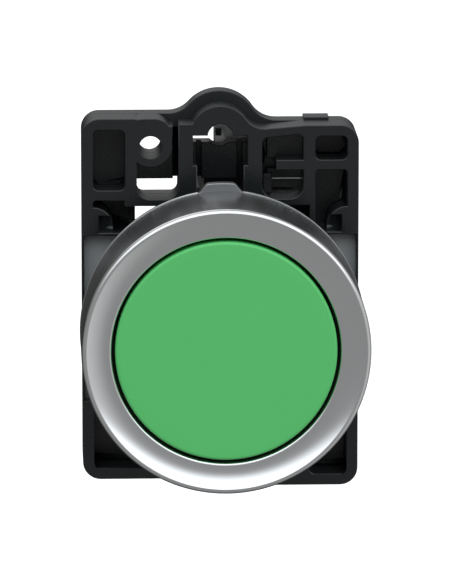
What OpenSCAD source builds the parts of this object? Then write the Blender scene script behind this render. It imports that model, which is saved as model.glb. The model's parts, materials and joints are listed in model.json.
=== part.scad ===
// Flush push button for a 22 mm panel hole: head, rear collar and one contact block.
// Frame: the origin is on the barrel's axis, in the plane where the gasket meets the
// panel. +X is to the right, +Y goes through the panel to the rear, +Z is up.

/* [Head] */
// Outer diameter of the bezel
bezel_d = 30; // [29.4:0.1:30.6]
// How far the bezel's rim stands in front of the panel
head_depth = 13.2; // [13:0.1:14]
// Diameter of the cap
cap_d = 23; // [22.8:0.1:23.1]
// Gap between the cap and the bezel, all round
cap_gap = 0.37; // [0.3:0.01:0.5]
// Outer diameter of the barrel behind the panel
barrel_d = 22; // [21.8:0.1:22.1]
// How far the cap goes in when it is pressed
travel = 3.6; // [2.5:0.1:3.6]

/* [Collar] */
// Room for the panel between the gasket and the collar
panel_space = 5.3; // [5:0.1:6]
// Width of the collar
collar_w = 29.4; // [29.2:0.1:30]
// Depth of the collar's front layer
front_t = 3.8; // [3.5:0.1:4]
// Depth of the collar's rear layer
back_t = 2.6; // [2.4:0.1:3]
// Radius of the collar's outer corners
corner_r = 1.9; // [1:0.1:2.2]
// Thickness of the collar's outer walls
wall_t = 1.2; // [1.1:0.05:1.3]

/* [Contact block] */
// Width of the contact block
block_w = 10.5; // [10.5:0.1:11]
// Depth of the contact block behind the collar
block_depth = 30; // [30:0.1:32]
// Height of the block's front part
block_h = 30; // [29.6:0.1:30]
// Height of the block's rear part
block_rear_h = 24; // [24:0.1:25]

/* [Hidden] */
$fn = 64;
eps = 0.02;
slip = 0.05;

// Head, along the axis from the rim to the gasket
rim_y = -head_depth;
bezel_r = bezel_d / 2;
bezel_hole_r = cap_d / 2 + cap_gap;
dish_drop = 0.8;
dish_y = rim_y + dish_drop;
rim_fillet = 0.7;
rim_r = bezel_r - rim_fillet;
bezel_rear_y = -1;
bezel_lip_t = 1.4;
seal_front_y = dish_y + bezel_lip_t;
seal_t = 1.2;
wipe_gap = 0.02;
bezel_bore_r = 13.5;
rear_lip_r = 0.04;
rear_lip_t = 0.5;
tab_x = -0.23;
tab_top_w = 2.9;
tab_base_w = 4.8;
tab_h = 0.83;
tab_t = 1.2;
tab_root = 0.6;
tab_sink = 0.2;

// Cap and pusher
cap_r = cap_d / 2;
cap_face_y = dish_y - 0.15;
cap_t = 1.6;
cap_skirt_r = cap_r - 1;
cap_skirt_len = 4.6;
cap_fillet = 0.3;
cap_boss_r = 2.9;
cap_boss_len = 5;
pusher_front_y = cap_face_y + cap_t;
pusher_disc_r = cap_skirt_r - slip;
pusher_disc_t = 1.4;
pusher_hub_r = cap_boss_r + 0.1;
pusher_hub_len = 6.2;
stem_r = 5.5;
clip_groove_r = 5;
clip_r = 7.4;
clip_t = 0.7;
clip_gap_w = 6;
stem_tail = 0.8;

// Barrel
barrel_r = barrel_d / 2;
barrel_bore_r = 8.8;
flange_front_y = -3.2;
barrel_wall_r = 12.7;
web_y = 4.6;
web_t = 3;
barrel_end_y = 13;
key_w = 2.4;
key_r = 12.1;
key_len = 3;
stem_end_y = web_y + web_t + clip_t + stem_tail;

// Gasket
gasket_r = 14.4;

// Springs
return_r = 6.9;
return_wire = 0.8;
return_turns = 5;
contact_spring_r = 1.55;
contact_wire = 0.4;
contact_turns = 9;
coil_sides = 8;
coil_steps = 14;

// Number of steps in round shapes, and the overlap of shapes that are joined
bore_steps = 96;
corner_steps = 32;
dish_steps = 8;
edge_steps = 6;
fillet_steps = 8;
hump_steps = 24;
rim_arc = 80;
over = 1;

// Collar layers, along the axis
front_y = panel_space;
back_y = front_y + front_t;
rear_y = back_y + back_t;
pocket_floor_t = 1.1;
pocket_end_y = rear_y - pocket_floor_t;
collar_hw = collar_w / 2;
collar_bore_gap = 0.3;
collar_bore_r = barrel_r + collar_bore_gap;
bore_wall_t = 1;
bore_wall_r = collar_bore_r + bore_wall_t;

// Collar outline, in the plane seen from the front
left_top_z = 21.5;
right_top_z = 20.7;
left_bottom_z = -17.5;
right_bottom_z = -18.3;
leg_split_x = 2;
hump_z = 19.55;
hump_r = 3.28;
hump_fillet = 2.5;
dip_z = 20.35;
dip_end_x = 9;
hump_step_x = -4.43;
hump_step_z = 20.9;
back_hump_r = 4.35;
back_hump_fillet = 3;
back_tab_x = 9;
back_tab_w = 2.7;
back_tab_h = 0.3;

// Eye of the left part and the stem under it
eye_x = -7.39;
eye_z = 18.64;
eye_bore_z = 18.44;
eye_bore_r = 1.2;
eye_r = 2.35;
stem_left_x = -10.1;
stem_right_x = -8.85;

// Bars and openings
pocket_r = 0.6;
trough_r = 0.8;
trough_front_r = 1.4;
left_bar_top_z = 13.82;
left_bar_z = 12.75;
bar_top_z = 12.83;
bar_z = 12.13;
post_left_x = -4.43;
post_in_x = 2.9;
post_low_x = 2.48;
post_step_z = 16.45;
post_right_x = 4.44;
window_top_z = 19.66;
window_r = 1.33;
back_panel_top_z = 18.38;
back_panel_z = 14.45;
back_window_x = 3;
back_window_top_z = 19.85;
back_window_r = 1.53;
back_notch_r = 1.25;
back_notch_z = 19.2;
groove_t = 1.5;
grooves = [
    [-2.45, -1.9, 14.4, 18.7], [1.9, 2.45, 14.4, 18.7], [-4.93, -4.43, 14.4, 20],
    [4.44, 5.08, 14.4, 19.1], [5.06, 6.1, 15.55, 16.6]
];
cell_right_x = 8.81;
cell_top_z = 19.4;
cell_rise = 0.36;
cell_bevel = 0.4;
mid_bar_x = 5.91;
mid_bar_top_z = 17;
mid_bar_z = 15.94;
side_pocket_x = 10.08;
side_pocket_top_z = 19.55;
low_pocket_x = -8.95;
low_pocket_z = 9.25;
low_pocket_r = 0.4;
bar_in_x = -10.15;
boss_z = 9.9;
low_open_z = 9.6;
low_open_x = 9.48;
back_open_x = 8.6;
corner_boss_r = 2.1;
corner_boss_drop = 1.4;
low_wall_t = 1.8;
low_wall_z = 11.1;
foot_pocket_z = -9.9;
foot_left_x = -7.7;
foot_right_x = 9.5;
foot_pocket_r = 0.6;

// Grey plate let into the front layer
plate_x = 14.5;
plate_z = 8.95;
plate_ring_r = 12.2;
plate_recess = 1.4;
plate_t = 1.5;

// Clamp screw with its pad, and the lock ring
clamp_x = -4.5;
clamp_z = -14;
clamp_r = 1.5;
clamp_head_r = 2.2;
clamp_head_t = 2;
clamp_head_y = rear_y + 2.4;
pad_r = 2;
pad_t = 0.8;
pad_gap = 0.1;
slot_w = 0.6;
slot_t = 0.9;
lock_r = 12.1;
lock_t = 1.1;
lock_y = rear_y + 0.1;
lever_angle = 170;
lever_end_r = 14.5;
lever_w = 3.2;
lever_tab_t = 1.2;
lever_tab_len = 4;

// Spring clip behind the hump
hump_clip_x = -0.5;
hump_clip_w = 4;
hump_clip_z = 15.2;
hump_clip_h = 5.2;
hump_clip_t = 0.8;
hump_slot_x = -0.29;
hump_slot_w = 0.6;
hump_slot_z = 18.65;
hump_slot_h = 0.75;
hump_rivet_x = 2.3;
hump_rivet_z = 16.4;
hump_rivet_r = 0.6;
hump_rivet_head_r = 1.1;
hump_rivet_len = 0.8;
hump_head_t = 0.5;

// Contact block shell
block_x0 = -1.5;
block_x1 = block_x0 + block_w;
block_y0 = rear_y + 1.5;
block_y1 = block_y0 + block_depth;
cover_t = 1.2;
shell_x0 = block_x0 + cover_t;
step_y = block_y0 + 6.8;
step_run = 5;
shell_t = 1.2;
front_wall_t = 1.8;
rear_wall_t = 1.5;
cavity_x1 = block_x1 - shell_t;
cavity_hz = block_rear_h / 2 - shell_t;
mid_x = 4;
hook_x = 4.62;
hook_w = 0.95;
hook_z = 13;
hook_h = 1.2;
hook_front_y = back_y - 1.1;
barb_h = 0.9;
low_hook_x = 5;
low_hook_w = 3;
low_slot_gap = 0.2;
low_room = 0.3;
low_drop = 1.2;
rivet_y = block_y0 + 3.6;
rivet_z = 11.6;
rivet_r = 0.7;
rivet_head_r = 1.2;
rivet_head_t = 0.5;
rivet_len = 4;

// Latch on the block
latch_x0 = 5.76;
latch_x1 = 8.9;
latch_pivot_y = block_y0 + 4.3;
latch_pivot_z = 13.4;
latch_tip_y = rear_y + 0.2;
latch_half_t = 0.5;
latch_boss_r = 0.9;
latch_pin_r = 0.5;
latch_pin_x = 4.6;
latch_thumb_z = 15.6;
latch_tail = 1.4;
notch_x = 5.6;
notch_z = 12.3;
notch_end_y = block_y0 + 6.6;

// Plunger and contacts
plunger_tip_y = stem_end_y + slip;
plunger_r = 1.7;
plunger_body_y = block_y0 + 3.8;
plunger_hw = 1.8;
plunger_hh = 3;
bridge_y = block_y0 + 12.8;
bridge_t = 0.7;
bridge_hw = 1.4;
bridge_hh = 5.6;
boss_r = 1;
boss_len = 1.6;
tip_r = 0.9;
tip_t = 0.4;
tip_z = 4.6;
contact_gap = travel + 0.05;
fixed_tip_y = bridge_y + bridge_t + tip_t + contact_gap;
strip_y = fixed_tip_y + tip_t;
strip_t = 0.8;
strip_x0 = 2.2;
strip_z0 = 3.4;
strip_z1 = 10.4;
spring_post_len = 3.2;

// Terminals
term_z = 9;
term_screw_r = 1.2;
term_head_r = 1.75;
term_head_t = 2;
term_tail = 1.15;
washer_y = strip_y + 4.05;
washer_t = 0.9;
washer_hw = 1.7;
access_r = 2.2;
entry_y = strip_y + strip_t + 1.65;
term_room = 3;
entry_r = 1.5;
partition_z = 6.4;
partition_t = 0.6;

// Points on an arc about [x, y], from angle a to angle b
function arc(x, y, r, a, b, n) =
    [for (i = [0:n]) [x + r * cos(a + (b - a) * i / n), y + r * sin(a + (b - a) * i / n)]];

// Outline in the XZ plane, thickened from y0 by t
module plate(y0, t) {
    translate([0, y0 + t, 0])
        rotate([90, 0, 0])
            linear_extrude(height = t)
                children();
}

// Outline in the YZ plane, thickened from x0 by t
module slab(x0, t) {
    translate([x0, 0, 0])
        rotate([90, 0, 90])
            linear_extrude(height = t)
                children();
}

// Profile of radius and depth, turned about the Y axis
module turned() {
    rotate([-90, 0, 0])
        rotate_extrude($fn = bore_steps)
            children();
}

// Round bar along Y
module rod(y0, len, r, x = 0, z = 0) {
    translate([x, y0, z])
        rotate([-90, 0, 0])
            cylinder(h = len, r = r);
}

// Round bar along X
module cross_rod(x0, len, r, y, z) {
    translate([x0, y, z])
        rotate([0, 90, 0])
            cylinder(h = len, r = r);
}

// Round bar along Z
module upright_rod(z0, len, r, x, y) {
    translate([x, y, z0])
        cylinder(h = len, r = r);
}

module box(x0, x1, y0, y1, z0, z1) {
    translate([x0, y0, z0])
        cube([x1 - x0, y1 - y0, z1 - z0]);
}

module rect(x0, x1, z0, z1) {
    translate([x0, z0])
        square([x1 - x0, z1 - z0]);
}

// Rectangle with round corners
module soft_rect(x0, x1, z0, z1, r) {
    rect(x0 + r, x1 - r, z0, z1);
    rect(x0, x1, z0 + r, z1 - r);
    for (x = [x0 + r, x1 - r])
        for (z = [z0 + r, z1 - r])
            translate([x, z])
                circle(r = r, $fn = corner_steps);
}

// Distance from the hump's middle to where its fillet meets the straight edge at line_z
function arch_run(r, line_z, fillet) = sqrt(pow(r + fillet, 2) - pow(line_z + fillet - hump_z, 2));

// Outline of the hump and its two fillets, closed at the hump's middle
function hump_outline(r, left_z, right_z, fillet) =
    let (
        left_run = arch_run(r, left_z, fillet),
        right_run = arch_run(r, right_z, fillet),
        left_a = atan2(left_z + fillet - hump_z, left_run),
        right_a = atan2(right_z + fillet - hump_z, right_run)
    )
    concat(
        [[-left_run, hump_z], [right_run, hump_z]],
        arc(right_run, right_z + fillet, fillet, 270, 180 + right_a, fillet_steps),
        arc(0, hump_z, r, right_a, 180 - left_a, hump_steps),
        arc(-left_run, left_z + fillet, fillet, 360 - left_a, 270, fillet_steps)
    );

// Helical wire about the Y axis, as a closed tube
module coil(y0, y1, r, wire, turns, x = 0) {
    count = turns * coil_steps;
    rings = [for (i = [0:count]) for (k = [0:coil_sides - 1])
        let (
            a = 360 * i / coil_steps,
            b = 360 * k / coil_sides,
            reach = r + wire / 2 * cos(b),
            y = y0 + wire / 2 + (y1 - y0 - wire) * i / count + wire / 2 * sin(b)
        )
        [x + reach * cos(a), y, reach * sin(a)]];
    lower = [for (i = [0:count - 1]) for (k = [0:coil_sides - 1])
        [i * coil_sides + k, (i + 1) * coil_sides + k,
            (i + 1) * coil_sides + (k + 1) % coil_sides]];
    upper = [for (i = [0:count - 1]) for (k = [0:coil_sides - 1])
        [i * coil_sides + k, (i + 1) * coil_sides + (k + 1) % coil_sides,
            i * coil_sides + (k + 1) % coil_sides]];
    first = [[for (k = [0:coil_sides - 1]) k]];
    last = [[for (k = [coil_sides - 1:-1:0]) count * coil_sides + k]];
    polyhedron(points = rings, faces = concat(lower, upper, first, last));
}

// Plated ring with a dished face, a key tab on its rear edge and a bore for the barrel
module bezel() {
    dish_w = rim_r - bezel_hole_r;
    dish_r = (pow(dish_w, 2) + pow(dish_drop, 2)) / (2 * dish_drop);
    dish_a = asin(dish_w / dish_r);
    color("#b9bcc0") {
        turned()
            polygon(concat(
                [[bezel_bore_r, bezel_rear_y], [bezel_bore_r, seal_front_y]],
                [[bezel_hole_r, seal_front_y]],
                arc(bezel_hole_r, dish_y - dish_r, dish_r, 90, 90 - dish_a, dish_steps),
                arc(rim_r, rim_y + rim_fillet, rim_fillet, -rim_arc, 0, edge_steps),
                [[bezel_r, bezel_rear_y - rear_lip_t]],
                [[bezel_r + rear_lip_r, bezel_rear_y - rear_lip_t]],
                [[bezel_r + rear_lip_r, bezel_rear_y]]
            ));
        plate(bezel_rear_y - tab_t, tab_t)
            polygon([
                [tab_x - tab_base_w / 2, bezel_r - tab_root],
                [tab_x + tab_base_w / 2, bezel_r - tab_root],
                [tab_x + tab_base_w / 2, bezel_r - tab_sink],
                [tab_x + tab_top_w / 2, bezel_r + tab_h],
                [tab_x - tab_top_w / 2, bezel_r + tab_h],
                [tab_x - tab_base_w / 2, bezel_r - tab_sink]
            ]);
    }
}

// Coloured disc with a skirt that clips over the pusher
module cap() {
    color("#57b467") {
        turned()
            polygon(concat(
                [[0, cap_face_y]],
                arc(cap_r - cap_fillet, cap_face_y + cap_fillet, cap_fillet, -90, 0, edge_steps),
                [[cap_r, cap_face_y + cap_skirt_len], [cap_skirt_r, cap_face_y + cap_skirt_len]],
                [[cap_skirt_r, cap_face_y + cap_t], [cap_boss_r, cap_face_y + cap_t]],
                [[cap_boss_r, cap_face_y + cap_t + cap_boss_len]],
                [[0, cap_face_y + cap_t + cap_boss_len]]
            ));
    }
}

// Rubber wiper behind the bezel's lip
module cap_seal() {
    color("#151515")
        difference() {
            rod(seal_front_y, seal_t, bezel_bore_r);
            rod(seal_front_y - eps, seal_t + 2 * eps, cap_r + slip + wipe_gap);
        }
}

// Disc and stem that carry the cap and reach the contact block
module pusher() {
    stem_y = pusher_front_y + pusher_disc_t;
    color("#26282a")
        difference() {
            union() {
                rod(pusher_front_y, pusher_disc_t, pusher_disc_r);
                rod(stem_y, stem_end_y - stem_y, stem_r);
            }
            rod(pusher_front_y - eps, pusher_hub_len, pusher_hub_r);
            difference() {
                rod(web_y + web_t, clip_t, stem_r + over);
                rod(web_y + web_t - eps, clip_t + 2 * eps, clip_groove_r);
            }
        }
}

// Open ring that keeps the pusher in the barrel
module pusher_clip() {
    color("#8f949a")
        difference() {
            rod(web_y + web_t, clip_t, clip_r);
            rod(web_y + web_t - eps, clip_t + 2 * eps, clip_groove_r);
            box(-clip_gap_w / 2, clip_gap_w / 2, web_y + web_t - eps,
                web_y + web_t + clip_t + eps, -clip_r, 0);
        }
}

module return_spring() {
    color("#9aa0a6")
        coil(pusher_front_y + pusher_disc_t, web_y, return_r, return_wire, return_turns);
}

// Flanged tube through the panel, with the guide for the pusher's stem
module barrel() {
    cup_y = seal_front_y + seal_t;
    color("#303336")
        difference() {
            union() {
                rod(cup_y, bezel_rear_y - cup_y, bezel_bore_r);
                rod(bezel_rear_y - eps, barrel_end_y - bezel_rear_y + eps, barrel_r);
                box(-key_w / 2, key_w / 2, bezel_rear_y - eps, key_len, barrel_r - over, key_r);
            }
            rod(cup_y - eps, flange_front_y - cup_y + eps, barrel_wall_r);
            rod(flange_front_y - over, web_y - flange_front_y + over, barrel_bore_r);
            rod(web_y - eps, web_t + 2 * eps, stem_r + slip);
            rod(web_y + web_t, barrel_end_y - web_y, barrel_bore_r);
        }
}

module panel_gasket() {
    color("#1a1a1a")
        difference() {
            rod(bezel_rear_y, -bezel_rear_y, gasket_r);
            rod(bezel_rear_y - eps, -bezel_rear_y + 2 * eps, barrel_r);
            box(-key_w / 2 - slip, key_w / 2 + slip, bezel_rear_y - eps, eps, 0, key_r + slip);
        }
}

// Outer outline shared by both collar layers, without the hump
module collar_base() {
    soft_rect(-collar_hw, collar_hw, left_bottom_z, right_top_z, corner_r);
    soft_rect(leg_split_x, collar_hw, right_bottom_z, right_top_z, corner_r);
    soft_rect(-collar_hw, eye_x, 0, left_top_z, corner_r);
}

// Pockets that stop short of the collar's rear face
module collar_pockets() {
    inner_x = collar_hw - wall_t;
    soft_rect(-inner_x, stem_left_x, left_bar_top_z, left_top_z - wall_t, pocket_r);
    difference() {
        soft_rect(-inner_x, low_pocket_x, low_pocket_z, left_bar_z, low_pocket_r);
        rect(bar_in_x, 0, bar_z, left_bar_top_z);
        corner_boss(-1);
    }
    soft_rect(side_pocket_x, inner_x, mid_bar_top_z, side_pocket_top_z, pocket_r);
    difference() {
        soft_rect(side_pocket_x, inner_x, low_pocket_z, mid_bar_z, low_pocket_r);
        corner_boss(1);
    }
    difference() {
        union() {
            soft_rect(-inner_x, foot_left_x, left_bottom_z + wall_t, foot_pocket_z,
                foot_pocket_r);
            soft_rect(foot_right_x, inner_x, right_bottom_z + wall_t, foot_pocket_z,
                foot_pocket_r);
        }
        circle(r = bore_wall_r);
    }
}

// Boss with a round top in the lower outer corner of a side pocket
module corner_boss(side) {
    corner_x = side * (collar_hw - wall_t);
    translate([corner_x, boss_z])
        circle(r = corner_boss_r);
    translate([corner_x - corner_boss_r, boss_z - corner_boss_r])
        square([2 * corner_boss_r, corner_boss_r]);
}

// Shallow cuts that set the corner bosses back, inside the widened wall
module boss_faces() {
    for (side = [-1, 1])
        intersection() {
            corner_boss(side);
            rect(side > 0 ? side_pocket_x : low_wall_t - collar_hw,
                side > 0 ? collar_hw - low_wall_t : stem_left_x, low_pocket_z, low_wall_z);
        }
}

// Openings under the cross bar, outside the wall round the bore
module low_openings(right_x) {
    difference() {
        union() {
            rect(low_pocket_x, post_left_x, low_open_z, bar_z);
            rect(post_right_x, right_x, low_open_z, bar_z);
        }
        circle(r = bore_wall_r);
    }
}

// Front layer of the collar, seen from the front
module front_outline() {
    dip_run = arch_run(hump_r, dip_z, hump_fillet);
    difference() {
        union() {
            collar_base();
            soft_rect(stem_left_x, eye_x + eye_r, eye_z - corner_r, left_top_z, corner_r);
            rect(hump_step_x, 0, post_step_z, hump_step_z);
            polygon([[0, hump_z], [dip_run, dip_z - over], [dip_run, dip_z + hump_fillet]]);
            translate([0, hump_z])
                circle(r = hump_r);
        }
        translate([dip_run, dip_z + hump_fillet])
            circle(r = hump_fillet);
        polygon([
            [dip_run, dip_z], [dip_end_x, right_top_z],
            [dip_end_x, right_top_z + over], [dip_run, right_top_z + over]
        ]);
        circle(r = collar_bore_r, $fn = bore_steps);
        rect(eye_x + eye_r, hump_step_x, bar_top_z + trough_front_r,
            left_top_z + over);
        difference() {
            soft_rect(stem_right_x, post_left_x, bar_top_z, eye_z, trough_front_r);
            translate([eye_x, eye_z])
                circle(r = eye_r);
        }
        rect(-post_in_x, post_in_x, post_step_z, window_top_z);
        rect(-post_low_x, post_low_x, bar_top_z, post_step_z + eps);
        translate([0, hump_z])
            circle(r = window_r);
        difference() {
            union() {
                soft_rect(post_right_x, cell_right_x, bar_top_z, mid_bar_top_z, trough_front_r);
                soft_rect(post_right_x, cell_right_x, bar_top_z + trough_front_r, cell_top_z,
                    pocket_r);
                polygon([
                    [post_right_x + cell_bevel, cell_top_z - pocket_r],
                    [cell_right_x, cell_top_z - pocket_r],
                    [cell_right_x, cell_top_z + cell_rise - cell_bevel],
                    [cell_right_x - cell_bevel, cell_top_z + cell_rise],
                    [post_right_x + cell_bevel, cell_top_z]
                ]);
            }
            rect(mid_bar_x, cell_right_x + over, mid_bar_z, mid_bar_top_z);
        }
        low_openings(low_open_x);
        collar_pockets();
        soft_rect(low_hook_x - low_room, low_hook_x + low_hook_w + low_room,
            -hook_z - hook_h - low_drop, -hook_z + low_slot_gap, low_pocket_r);
    }
}

// Black front layer with its pockets, eye and cross bars
module collar_frame() {
    color("#292c2e") {
        difference() {
            plate(front_y, front_t)
                front_outline();
            plate(front_y - eps, plate_recess + plate_t + eps)
                plate_outline();
            plate(front_y - eps, corner_boss_drop + eps)
                boss_faces();
            rod(front_y - eps, front_t + 2 * eps, eye_bore_r, eye_x, eye_bore_z);
            rod(front_y - eps, front_t + 2 * eps, clamp_r + slip, clamp_x, clamp_z);
            rod(front_y - eps, pad_t + pad_gap, pad_r + slip, clamp_x, clamp_z);
        }
    }
}

// Rear layer: taller hump, hook slots and the pocket floors
module collar_back() {
    color("#232628")
        difference() {
            plate(back_y, back_t)
                back_outline();
            plate(back_y - eps, pocket_end_y - back_y + eps)
                collar_pockets();
            for (g = grooves)
                box(g[0], g[1], back_y - eps, back_y + groove_t, g[2], g[3]);
            rod(back_y - eps, back_t + 2 * eps, eye_bore_r, eye_x, eye_bore_z);
            rod(back_y - eps, back_t + 2 * eps, clamp_r + slip, clamp_x, clamp_z);
            rod(rear_y - hump_rivet_len, hump_rivet_len + eps, hump_rivet_r, hump_rivet_x,
                hump_rivet_z);
        }
}

// Opening over the cross bar, square at the top and round at the bottom
module trough(x0, x1) {
    intersection() {
        soft_rect(x0, x1, bar_top_z, back_panel_z + trough_r, trough_r);
        rect(x0, x1, bar_top_z, back_panel_z);
    }
}

module back_outline() {
    difference() {
        union() {
            collar_base();
            rect(eye_x - corner_r, 0, 0, left_top_z);
            polygon(hump_outline(back_hump_r, left_top_z, right_top_z, back_hump_fillet));
            rect(back_tab_x, back_tab_x + back_tab_w, 0, right_top_z + back_tab_h);
        }
        circle(r = collar_bore_r, $fn = bore_steps);
        rect(-back_window_x, back_window_x, back_panel_top_z, back_window_top_z);
        translate([0, hump_z])
            circle(r = back_window_r);
        translate([0, back_notch_z])
            circle(r = back_notch_r);
        trough(stem_right_x, post_left_x);
        trough(-post_low_x, post_low_x);
        trough(post_right_x, cell_right_x);
        low_openings(back_open_x);
        rect(low_hook_x - low_slot_gap, low_hook_x + low_hook_w + low_slot_gap,
            -hook_z - hook_h - low_slot_gap, -hook_z + low_slot_gap);
    }
}

// Two wings joined by a ring round the bore
module plate_outline() {
    rect(-plate_x, plate_x, -plate_z, plate_z);
    circle(r = plate_ring_r, $fn = bore_steps);
}

// Light grey plate round the bore, let into the front layer
module collar_plate() {
    color("#7c8082")
        plate(front_y + plate_recess, plate_t)
            difference() {
                plate_outline();
                circle(r = collar_bore_r, $fn = bore_steps);
            }
}

// Plated spring clip behind the hump
module collar_clip() {
    color("#a9adb0")
        difference() {
            box(hump_clip_x, hump_clip_x + hump_clip_w, rear_y, rear_y + hump_clip_t,
                hump_clip_z, hump_clip_z + hump_clip_h);
            box(hump_slot_x, hump_slot_x + hump_slot_w, rear_y - eps,
                rear_y + hump_clip_t + eps, hump_slot_z, hump_slot_z + hump_slot_h);
            rod(rear_y - eps, hump_clip_t + 2 * eps, hump_rivet_r, hump_rivet_x, hump_rivet_z);
        }
}

module clip_rivet() {
    color("#9a9da0") {
        rod(rear_y - hump_rivet_len, hump_rivet_len + hump_clip_t, hump_rivet_r, hump_rivet_x,
            hump_rivet_z);
        rod(rear_y + hump_clip_t, hump_head_t, hump_rivet_head_r, hump_rivet_x, hump_rivet_z);
    }
}

// Slotted screw, with its head at y0 facing the rear
module slotted_screw(tip_y, head_y, head_t, r, head_r, x, z) {
    difference() {
        union() {
            rod(tip_y, head_y - tip_y + eps, r, x, z);
            rod(head_y, head_t, head_r, x, z);
        }
        box(x - head_r - eps, x + head_r + eps, head_y + head_t - slot_t,
            head_y + head_t + eps, z - slot_w / 2, z + slot_w / 2);
    }
}

// Screw that presses the pad against the rear of the panel
module clamp_screw() {
    color("#a4a7aa")
        slotted_screw(front_y + pad_t, clamp_head_y, clamp_head_t, clamp_r, clamp_head_r,
            clamp_x, clamp_z);
}

module clamp_pad() {
    color("#8b8f93")
        rod(front_y, pad_t, pad_r, clamp_x, clamp_z);
}

// Ring on the barrel's end, with the lever that locks the head
module lock_ring() {
    color("#c9492f")
        difference() {
            union() {
                rod(lock_y, lock_t, lock_r);
                rotate([0, -lever_angle, 0]) {
                    box(barrel_r, lever_end_r, lock_y, lock_y + lock_t,
                        -lever_w / 2, lever_w / 2);
                    box(lever_end_r - lever_tab_t, lever_end_r, lock_y,
                        lock_y + lever_tab_len, -lever_w / 2, lever_w / 2);
                }
            }
            rod(lock_y - eps, lever_tab_len + over, barrel_r + slip);
        }
}

// Side view of the contact block
module block_outline() {
    polygon([
        [block_y0, -block_h / 2], [step_y, -block_h / 2],
        [step_y + step_run, -block_rear_h / 2], [block_y1, -block_rear_h / 2],
        [block_y1, block_rear_h / 2], [step_y + step_run, block_rear_h / 2],
        [step_y, block_h / 2], [block_y0, block_h / 2]
    ]);
}

// Shell of the block, open on its left side
module block_housing() {
    cavity_y0 = block_y0 + front_wall_t;
    cavity_y1 = block_y1 - rear_wall_t;
    color("#2b2e30") {
        difference() {
            slab(shell_x0, block_x1 - shell_x0)
                block_outline();
            box(shell_x0 - eps, cavity_x1, cavity_y0, cavity_y1, -cavity_hz, cavity_hz);
            rod(block_y0 - eps, front_wall_t + 2 * eps, plunger_r + slip, mid_x, 0);
            for (side = [-1, 1])
                rod(cavity_y1 - eps, rear_wall_t + 2 * eps, access_r, mid_x, side * term_z);
            upright_rod(cavity_hz - eps, shell_t + 2 * eps, entry_r, mid_x, entry_y);
            upright_rod(-cavity_hz - shell_t - eps, shell_t + 2 * eps, entry_r, mid_x, entry_y);
            box(notch_x, block_x1 + eps, block_y0 - eps, notch_end_y, notch_z,
                block_h / 2 + eps);
            cross_rod(latch_pin_x, notch_x - latch_pin_x + eps, latch_pin_r, latch_pivot_y,
                latch_pivot_z);
            for (side = [-1, 1])
                cross_rod(shell_x0 - eps, rivet_len - cover_t + eps, rivet_r, rivet_y,
                    side * rivet_z);
        }
        for (side = [-1, 1])
            box(shell_x0, cavity_x1 + eps, strip_y + strip_t + term_room, cavity_y1 + eps,
                side * (partition_z + partition_t / 2) - partition_t / 2,
                side * (partition_z + partition_t / 2) + partition_t / 2);
        rod(cavity_y1 - spring_post_len, spring_post_len + eps, boss_r, mid_x, 0);
        box(hook_x, hook_x + hook_w, hook_front_y, block_y0 + eps, hook_z, hook_z + hook_h);
        box(hook_x, hook_x + hook_w, hook_front_y, back_y - slip, hook_z + hook_h - eps,
            hook_z + hook_h + barb_h);
        box(low_hook_x, low_hook_x + low_hook_w, hook_front_y, block_y0 + eps,
            -hook_z - hook_h, -hook_z);
        box(low_hook_x, low_hook_x + low_hook_w, hook_front_y, back_y - slip,
            -hook_z - hook_h - barb_h, -hook_z - hook_h + eps);
    }
}

module block_cover() {
    color("#34383a")
        difference() {
            slab(block_x0, cover_t)
                block_outline();
            for (side = [-1, 1]) {
                cross_rod(block_x0 - eps, cover_t + 2 * eps, rivet_r, rivet_y, side * rivet_z);
                cross_rod(block_x0 - eps, rivet_head_t + eps, rivet_head_r, rivet_y,
                    side * rivet_z);
            }
        }
}

module block_rivets() {
    color("#b0a27a")
        for (side = [-1, 1]) {
            cross_rod(block_x0, rivet_len, rivet_r, rivet_y, side * rivet_z);
            cross_rod(block_x0, rivet_head_t, rivet_head_r, rivet_y, side * rivet_z);
        }
}

// Lever that hooks the block to the collar, with a thumb tab
module block_latch() {
    color("#6d7174")
        difference() {
            union() {
                box(latch_x0, latch_x1, latch_tip_y, latch_pivot_y + latch_tail,
                    latch_pivot_z - latch_half_t, latch_pivot_z + latch_half_t);
                cross_rod(latch_x0, latch_x1 - latch_x0, latch_boss_r, latch_pivot_y,
                    latch_pivot_z);
                box(latch_x0, latch_x1, latch_pivot_y + latch_tail - over,
                    latch_pivot_y + latch_tail, latch_pivot_z, latch_thumb_z);
            }
            cross_rod(latch_x0 - eps, latch_x1 - latch_x0 + 2 * eps, latch_pin_r + slip,
                latch_pivot_y, latch_pivot_z);
        }
}

module latch_pin() {
    color("#b4b7ba")
        cross_rod(latch_pin_x, latch_x1 - latch_pin_x, latch_pin_r, latch_pivot_y,
            latch_pivot_z);
}

// Slider that the pusher presses, with a boss for the bridge and its spring
module plunger() {
    color("#3f7f6a") {
        rod(plunger_tip_y, plunger_body_y - plunger_tip_y + eps, plunger_r, mid_x, 0);
        box(mid_x - plunger_hw, mid_x + plunger_hw, plunger_body_y, bridge_y,
            -plunger_hh, plunger_hh);
        rod(bridge_y - eps, boss_len + eps, boss_r, mid_x, 0);
    }
}

module contact_bridge() {
    color("#c08a4a")
        difference() {
            box(mid_x - bridge_hw, mid_x + bridge_hw, bridge_y, bridge_y + bridge_t,
                -bridge_hh, bridge_hh);
            rod(bridge_y - eps, bridge_t + 2 * eps, boss_r, mid_x, 0);
        }
}

module bridge_tips() {
    color("#d9dadb")
        for (side = [-1, 1])
            rod(bridge_y + bridge_t, tip_t, tip_r, mid_x, side * tip_z);
}

module contact_spring() {
    color("#9aa0a6")
        coil(bridge_y + bridge_t, block_y1 - rear_wall_t, contact_spring_r, contact_wire,
            contact_turns, mid_x);
}

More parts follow.
